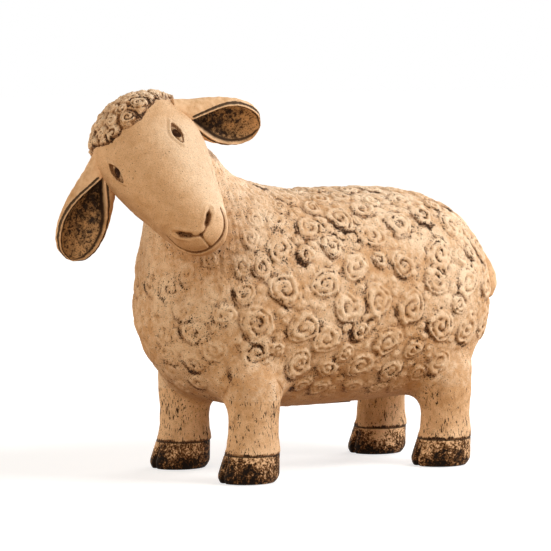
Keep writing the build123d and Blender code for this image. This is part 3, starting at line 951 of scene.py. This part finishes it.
class Paint:
    """One material and its node tree."""

    def __init__(self, name):
        self.material = bpy.data.materials.new(name)
        self.material.use_nodes = True
        self.tree = self.material.node_tree
        self.shader = self.tree.nodes["Principled BSDF"]
        self.shader.inputs["Specular IOR Level"].default_value = matte_sheen

    def node(self, kind, settings, inputs, output=0):
        """Adds a node of a type, sets its settings and then its sockets, and returns one output as a Wire."""
        node = self.tree.nodes.new(kind)
        for key, value in settings.items():
            setattr(node, key, value)
        for key, value in inputs.items():
            socket = node.inputs[key] if isinstance(key, int) else next(
                each for each in node.inputs if key in (each.identifier, each.name))
            self.link(value, socket)
        if isinstance(output, int):
            return Wire(self, node.outputs[output])
        return Wire(self, next(each for each in node.outputs if output in (each.identifier, each.name)))

    def link(self, value, socket):
        """Joins a Wire to a socket, or sets the socket's own value."""
        if isinstance(value, Wire):
            self.tree.links.new(value.socket, socket)
        else:
            socket.default_value = value

    def place(self, stretch=(1.0, 1.0, 1.0)):
        """Object coordinates, stretched."""
        spot = self.node("ShaderNodeTexCoord", {}, {}, "Object")
        return self.node("ShaderNodeVectorMath", {"operation": "MULTIPLY"}, {0: spot, 1: stretch})

    def noise(self, place, scale, detail=2.0, roughness=0.55):
        """Noise of 0 to 1 at a number of features per metre."""
        return self.node("ShaderNodeTexNoise", {}, {"Vector": place, "Scale": scale, "Detail": detail,
                                                   "Roughness": roughness})

    def painted(self, name):
        """A value painted on the mesh."""
        return self.node("ShaderNodeAttribute", {"attribute_name": name}, {}, "Fac")

    def mix(self, share, first, second):
        """A colour between two."""
        return self.node("ShaderNodeMix", {"data_type": "RGBA"},
                         {"Factor_Float": share, "A_Color": first, "B_Color": second}, "Result_Color")

    def finish(self, colour, roughness, bump=None, strength=0.0, distance=0.0):
        """Feeds the shader: colour, roughness and, where there is one, a bump from a height."""
        self.link(colour, self.shader.inputs["Base Color"])
        self.link(roughness, self.shader.inputs["Roughness"])
        if bump is not None:
            sockets = {"Strength": strength, "Distance": distance, "Height": bump}
            self.link(self.node("ShaderNodeBump", {}, sockets), self.shader.inputs["Normal"])
        return self.material


tan = (0.57, 0.340, 0.175, 1)
cream = (0.82, 0.575, 0.37, 1)
bisque = (0.86, 0.67, 0.49, 1)
# Pale paint dry-brushed on the crests of the wool, also used for the painted highlight on the face.
rubbed_and_highlight = (0.93, 0.77, 0.59, 1)
# Deep brown for painted shade on faces that point down.
underside_shade = (0.33, 0.145, 0.045, 1)
# Deep brown for the wash in the hollows and the grit, and for the painted shade in the shade values.
umber_and_shade = (0.16, 0.062, 0.019, 1)
soot = (0.022, 0.010, 0.005, 1)
ear_brown = (0.026, 0.012, 0.005, 1)
ear_tan = (0.62, 0.37, 0.18, 1)
hoof_black = (0.008, 0.004, 0.002, 1)
hoof_brown = (0.19, 0.09, 0.036, 1)
hoof_tan = (0.80, 0.55, 0.34, 1)
eye_white = (0.52, 0.35, 0.21, 1)
eye_stain = (0.20, 0.10, 0.045, 1)
pupil_brown = (0.030, 0.011, 0.004, 1)
pupil_worn = (0.11, 0.045, 0.018, 1)
steel_dark = (0.42, 0.43, 0.45, 1)
steel_light = (0.62, 0.63, 0.65, 1)
beech_dark = (0.42, 0.25, 0.12, 1)
beech_light = (0.66, 0.45, 0.26, 1)
felt_dark = (0.07, 0.045, 0.03, 1)
felt_light = (0.19, 0.13, 0.09, 1)
warm_sky = (1.0, 0.84, 0.66, 1)
white = (1, 1, 1, 1)
black = (0, 0, 0, 1)


def antique_cream(name, pale, mottle, speck_limit, patch_weight, recess, stretch=(1.0, 1.0, 1.0)):
    """Pale paint worn thin over a dark ground: mottled with tan, lightest on the crests and in the painted
    highlight, darker on faces that point down as painted shade, deep brown in the hollows and in the painted
    shade, and sooty specks that gather in patches and hollows. A smaller mottle is sharper, and a lower
    speck_limit gives more specks."""
    paint = Paint(name)
    place = paint.place()
    shade = paint.painted("shade")
    broad = paint.noise(place, 22.0, 2.0)
    middle = paint.noise(place, 150.0, 3.0)
    patch = paint.noise(place, 48.0, 2.0).step(0.40, 0.66)
    fine = paint.noise(paint.place(stretch), 860.0, 2.5, 0.6)
    grain = paint.noise(place, 430.0, 2.0)
    grit = paint.noise(place, 1700.0, 1.0)
    colour = paint.mix((broad * 0.4 + middle * 0.4 + grain * 0.2).step(0.5 - mottle, 0.5 + mottle), tan, pale)
    # Pale paint on the crests, and on the face a painted highlight where the light falls.
    colour = paint.mix(paint.painted("crest") * (0.2 + grain * 0.8), colour, rubbed_and_highlight)
    # Painted shade: faces that point down turn deep brown, as if in shadow.
    colour = paint.mix(paint.painted("under").step(0.3, 1.0) * 0.75, colour, underside_shade)
    # The shade values turn deep brown: a wash in the hollows, and painted shade under the curls, round the
    # tail and along the cap's edge.
    stain_and_shade = (shade * recess * (0.1 + patch * 0.5 + grain * 0.5 + fine * 0.5)).step(0.08, 0.8)
    colour = paint.mix(stain_and_shade * 0.9, colour, umber_and_shade)
    speckled = fine + shade * 0.155 * (0.5 + patch) + patch * patch_weight
    speck = speckled.step(speck_limit, speck_limit + 0.05)
    colour = paint.mix((grit + grain * 0.3).step(0.62, 0.85) * 0.35, colour, umber_and_shade)
    colour = paint.mix(speck * 0.95, colour, soot)
    roughness = 0.58 + middle * 0.2 + speck * 0.1
    bump = fine * 0.6 + grain * 0.6 + middle + grit * 0.35
    return paint.finish(colour, roughness, bump, strength=0.45, distance=0.0011)


wool_paint = antique_cream("wool_paint", bisque, 0.13, 0.645, 0.045, 0.95)
skin_paint = antique_cream("skin_paint", cream, 0.24, 0.685, 0.035, 2.2)
leg_paint = antique_cream("leg_paint", cream, 0.15, 0.625, 0.06, 1.0, (1.0, 1.0, 0.33))
cap_paint = antique_cream("cap_paint", bisque, 0.13, 0.64, 0.06, 1.2)
tail_paint = antique_cream("tail_paint", cream, 0.16, 0.66, 0.05, 1.0)


def ear_paint():
    """Cream backs with a dark worn hollow: soot at the apex, and more tan worn through towards the tip."""
    paint = Paint("ear_paint")
    place = paint.place()
    inside = paint.painted("inside")
    groove = paint.painted("shade")
    station = paint.painted("station")
    broad = paint.noise(place, 25.0, 2.0)
    middle = paint.noise(place, 190.0, 3.0, 0.65)
    fine = paint.noise(place, 560.0, 2.5, 0.6)
    back = paint.mix((broad * 0.5 + middle * 0.5).step(0.36, 0.64), tan, cream)
    back = paint.mix((fine + station * 0.04).step(0.70, 0.77) * 0.9, back, soot)
    worn = (station * 0.4 + middle + fine * 0.8).step(1.0, 1.35)
    front = paint.mix(worn, ear_brown, ear_tan)
    front = paint.mix((fine + middle * 0.3).step(0.72, 0.82) * 0.85, front, soot)
    colour = paint.mix(inside, back, front)
    colour = paint.mix((groove * (0.15 + middle * 0.7 + fine * 0.7)).step(0.4, 0.7) * 0.92, colour, soot)
    return paint.finish(colour, 0.45 + middle * 0.3, fine * 0.6 + middle, strength=0.3, distance=0.0009)


def hoof_paint():
    """Near-black paint with tan dry-brushed patches that thin out towards the sole."""
    paint = Paint("hoof_paint")
    place = paint.place()
    shade = paint.painted("shade")
    rise = paint.painted("rise")
    patch = paint.noise(place, 55.0, 2.0)
    middle = paint.noise(place, 330.0, 4.0, 0.7)
    fine = paint.noise(place, 760.0, 2.5, 0.6)
    worn = rise * 0.25 + patch * 0.7 + middle * 0.8 + fine * 0.7
    colour = paint.mix(worn.step(1.08, 1.3), hoof_black, hoof_brown)
    colour = paint.mix(worn.step(1.23, 1.41), colour, hoof_tan)
    colour = paint.mix((shade * (0.6 + middle)).step(0.4, 0.8) * 0.9, colour, soot)
    paint.shader.inputs["Specular IOR Level"].default_value = 0.06
    roughness = 0.4 + worn * 0.12 + middle * 0.12
    return paint.finish(colour, roughness, fine * 0.5 + middle, strength=0.3, distance=0.0009)


def eye_paint():
    """A thin varnish over a dark brown pupil and a worn tan white."""
    paint = Paint("eye_paint")
    middle = paint.noise(paint.place(), 420.0, 2.0)
    ball = paint.mix(middle.step(0.4, 0.65), eye_white, eye_stain)
    dark = paint.mix(middle.step(0.5, 0.75), pupil_brown, pupil_worn)
    colour = paint.mix(paint.painted("pupil"), ball, dark)
    paint.shader.inputs["Specular IOR Level"].default_value = 0.0
    paint.shader.inputs["Coat Weight"].default_value = 0.1
    paint.shader.inputs["Coat Roughness"].default_value = 0.08
    return paint.finish(colour, 0.4 + middle * 0.15)


def rod_paint():
    """Drawn steel: grey with fine marks along the rod."""
    paint = Paint("rod_steel")
    marks = paint.noise(paint.place((1.0, 1.0, 0.05)), 2400.0, 2.0)
    paint.shader.inputs["Metallic"].default_value = 1.0
    colour = paint.mix(marks, steel_dark, steel_light)
    return paint.finish(colour, 0.28 + marks * 0.2, marks, strength=0.1, distance=0.0002)


def dowel_paint():
    """Turned beech with pores drawn out along the grain."""
    paint = Paint("dowel_beech")
    grain = paint.noise(paint.place((1.0, 0.25, 1.0)), 420.0, 4.0, 0.6)
    colour = paint.mix(grain, beech_dark, beech_light)
    return paint.finish(colour, 0.5 + grain * 0.2, grain, strength=0.2, distance=0.0004)


def felt_paint():
    """Pressed brown felt with a fibrous mottle."""
    paint = Paint("pad_felt")
    fibre = paint.noise(paint.place(), 900.0, 5.0, 0.7)
    colour = paint.mix(fibre, felt_dark, felt_light)
    return paint.finish(colour, 0.85 + fibre * 0.1, fibre, strength=0.5, distance=0.0006)


# Pieces

body, body_normals, body_paint = dressed_body()
columns = body.shape[1]
plain_body = body_grid(*plain_mesh)[1]
body_samples = plain_body.reshape(-1, 3)
sample_normals = ring_normals(plain_body).reshape(-1, 3)
ears_paint = ear_paint()
hooves_paint = hoof_paint()
eyes_paint = eye_paint()


def half_body(half, inward):
    """The columns of one half of the body as a form: their outside, a flat seam, and a fan at each end."""
    form = Form()
    painted = {name: values[:, half] for name, values in body_paint.items()}
    form.add_sheet_grid(body[:, half], body_normals[:, half], painted, body_normals[:, half])
    seam = body[:, half[[0, -1]]]
    flat = np.broadcast_to((inward, 0.0, 0.0), seam.shape)
    form.add_sheet_grid(seam, flat, {}, flat)
    for end, inner in ((0, 1), (-1, -2)):
        ring = body[end, half]
        middle = ring.mean(0)
        fan = np.stack((ring, np.repeat(middle[None], len(half), 0)))
        facing = np.broadcast_to(unit(middle - body[inner, half].mean(0)), fan.shape)
        form.add_sheet_grid(fan, facing, {}, facing)
    return form


# Each half of the body takes in the tops of its two legs
above_joint = slice(leg_low_rows - 1, None)
below_joint = slice(0, leg_low_rows)
for side, first, inward in (("left", 0, -1.0), ("right", columns // 2, 1.0)):
    form = half_body((first + np.arange(columns // 2 + 1)) % columns, inward)
    for corner in (side + "_front", side + "_rear"):
        leg, stain_and_shade = dressed_leg(legs[corner], body_samples, sample_normals)
        normals = ring_normals(leg)
        form.add_ring_grid(leg[above_joint], normals[above_joint], {"shade": stain_and_shade[above_joint]})
        leg_form = Form()
        leg_form.add_ring_grid(leg[below_joint], normals[below_joint], {"shade": stain_and_shade[below_joint]})
        leg_form.make(corner + "_leg_cast", corner + "_leg", "smooth_skin", leg_paint)
        hoof, hoof_painted = dressed_hoof(legs[corner])
        cast(corner + "_hoof_cast", corner + "_hoof", "hoof_paint", hooves_paint, hoof, hoof_painted)
    form.make(side + "_body_wool", side + "_body_shell", "wool_coat", wool_paint)

head, head_painted = dressed_head()
cast("head_cast", "head_shell", "smooth_skin", skin_paint, from_head(head), head_painted)

cap, cap_painted = dressed_cap()
cast("wool_cap_curls", "wool_cap", "wool_coat", cap_paint, from_head(cap), cap_painted)

for side, facts in ear_facts.items():
    ear, ear_painted = dressed_ear(*facts)
    cast(side + "_ear_cast", side + "_ear", "ear_skin", ears_paint, from_head(ear), ear_painted)

for side, middle in eye_middles.items():
    eye, pupil = eye_surface(middle, eye_slants[side])
    cast(side + "_eye_gloss", side + "_eye", "eye_gloss", eyes_paint, from_head(eye), {"pupil": pupil})

tail = dressed_tail()
cast("tail_cast", "tail", "smooth_skin", tail_paint, tail, {"shade": np.zeros(tail.shape[:2])})

plug, plug_rim = dressed_plug()
cast("belly_plug_cast", "belly_plug", "wool_coat", wool_paint, plug, {"shade": plug_rim})

for node, material in (("leg_rods", rod_paint()), ("neck_dowel", dowel_paint()), ("hoof_pads", felt_paint())):
    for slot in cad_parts[node].material_slots:
        slot.link = "OBJECT"
        slot.material = material

# Camera at the photograph's viewing angle, in the sheep's frame
view_azimuth = math.radians(57.5)
view_elevation = math.radians(4.5)
view_distance = 2600.0
view_target = np.array((-51.2, 0.0, 138.8))
focal_pixels = 3455.0
picture_pixels = 551
level = math.cos(view_elevation)
back = np.array((math.sin(view_azimuth) * level, -math.cos(view_azimuth) * level, math.sin(view_elevation)))
right = np.array((math.cos(view_azimuth), math.sin(view_azimuth), 0.0))
up = np.cross(back, right)


def look(thing, place):
    """Puts a camera or a lamp at a place in millimetres, looking at the target."""
    thing.location = (place + to_part) / mm_per_metre
    direction = Vector((view_target + to_part) / mm_per_metre) - thing.location
    thing.rotation_euler = direction.to_track_quat("-Z", "Y").to_euler()
    bpy.context.scene.collection.objects.link(thing)


camera = bpy.data.objects.new("camera", bpy.data.cameras.new("camera"))
camera.data.sensor_width = 36.0
camera.data.lens = camera.data.sensor_width * focal_pixels / picture_pixels
camera.data.clip_end = 50.0
look(camera, view_target + back * view_distance)
bpy.context.scene.camera = camera


def lamp(name, direction, distance, size, power, colour):
    """A square soft lamp in a direction given as shares of the camera's right, up and back."""
    data = bpy.data.lights.new(name, "AREA")
    data.size = size
    data.energy = power
    data.color = colour
    way = unit(direction[0] * right + direction[1] * up + direction[2] * back)
    look(bpy.data.objects.new(name, data), view_target + way * distance)


lamp("key", (0.85, 0.75, 0.40), 1500, 0.5, 17.5, (1.0, 0.97, 0.92))
lamp("side", (1.0, 0.25, 0.0), 1500, 0.5, 7.0, (1.0, 0.97, 0.93))
lamp("fill", (-0.55, 0.3, 0.8), 1600, 0.9, 10.0, (1.0, 0.87, 0.70))
lamp("rim", (0.5, 0.5, -0.8), 1500, 0.8, 12.0, (1.0, 0.97, 0.93))
lamp("warm_edge", (-0.85, 0.1, -0.55), 1500, 0.5, 7.0, (1.0, 0.72, 0.45))

world = bpy.data.worlds.new("studio")
bpy.context.scene.world = world
world.use_nodes = True


def white_seen(paint):
    """1 for rays from the camera and through gloss or glass, which then see plain white."""
    kinds = ("Is Camera Ray", "Is Glossy Ray", "Is Transmission Ray")
    camera_ray, gloss_ray, glass_ray = (paint.node("ShaderNodeLightPath", {}, {}, kind) for kind in kinds)
    return camera_ray.maths("MAXIMUM", camera_ray, gloss_ray.maths("MAXIMUM", gloss_ray, glass_ray))


class WorldPaint(Paint):
    """The world's own node tree, with the same way to add nodes."""

    def __init__(self, tree):
        self.tree = tree


sky_light = 0.2
sky = WorldPaint(world.node_tree)
seen = white_seen(sky)
background = world.node_tree.nodes["Background"]
sky.link(sky_light + seen * (1.0 - sky_light), background.inputs["Strength"])
sky.link(sky.mix(seen, warm_sky, white), background.inputs["Color"])

# A pale floor that shows white where no shadow falls
floor_paint = Paint("floor_white")
floor_seen = white_seen(floor_paint)
bounce = (0.58, 0.44, 0.29, 1)
seen_grey = (0.45, 0.455, 0.47, 1)
floor_paint.link(floor_paint.mix(floor_seen, bounce, seen_grey), floor_paint.shader.inputs["Base Color"])
floor_paint.shader.inputs["Roughness"].default_value = 0.9
floor_paint.shader.inputs["Specular IOR Level"].default_value = 0.0
floor_paint.shader.inputs["Emission Strength"].default_value = 1.0
spot = floor_paint.place()
away = floor_paint.node("ShaderNodeVectorMath", {"operation": "LENGTH"}, {0: spot}, "Value").step(0.25, 1.0)
glow = floor_seen * (0.7 + away * 0.3)
floor_glow = floor_paint.mix(glow, black, white)
floor_paint.link(floor_glow, floor_paint.shader.inputs["Emission Color"])
mesh = bpy.data.meshes.new("floor")
reach = 9.0
floor_corners = [(-reach, -reach, 0), (reach, -reach, 0), (reach, reach, 0), (-reach, reach, 0)]
mesh.from_pydata(floor_corners, [], [(0, 1, 2, 3)])
mesh.materials.append(floor_paint.material)
floor = bpy.data.objects.new("floor", mesh)
bpy.context.scene.collection.objects.link(floor)

bpy.context.scene.view_settings.view_transform = "Standard"
